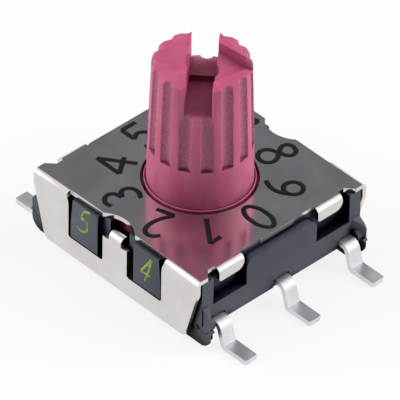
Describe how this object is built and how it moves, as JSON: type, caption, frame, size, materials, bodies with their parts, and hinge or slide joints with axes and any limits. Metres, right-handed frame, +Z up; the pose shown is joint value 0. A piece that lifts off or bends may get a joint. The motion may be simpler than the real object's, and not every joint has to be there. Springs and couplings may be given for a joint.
{
  "type": "rotary dip switch",
  "caption": "Coded rotary switch in a low square surface-mount case, with a tall splined and slotted shaft, a folded metal cover and gull-wing solder leads.",
  "frame": {"origin": "on the rotor axis, in the seating plane of the solder feet", "axes": "+Z up along the rotor axis, +X towards one row of three leads, +Y along the rows"},
  "size_m": [0.0098, 0.0068, 0.0068],
  "materials": {
    "cover_steel": "bright rolled stainless sheet, lightly marked",
    "body_moulding": "black glass-filled moulding, fine even texture",
    "rotor_moulding": "raspberry pink moulding, soft sheen",
    "contact_gold": "gold plate",
    "seal_rubber": "black rubber",
    "spring_steel": "spring strip",
    "lead_tin": "satin tin plate over copper alloy"
  },
  "bodies": {
    "case": {"cover": "cover_steel", "housing": "body_moulding", "base": "body_moulding", "click_spring": "spring_steel", "terminal_1": "lead_tin", "terminal_2": "lead_tin", "terminal_4": "lead_tin", "terminal_8": "lead_tin", "terminal_common_left": "lead_tin", "terminal_common_right": "lead_tin"},
    "rotor": {"rotor": "rotor_moulding", "code_disc": "contact_gold", "seal_ring": "seal_rubber"}
  },
  "joints": [
    {"name": "rotor_turn", "type": "hinge", "parent": "case", "child": "rotor", "pos_m": [0, 0, 0], "axis": [0, 0, 1], "continuous": true, "deforming": ["click_spring"]}
  ]
}
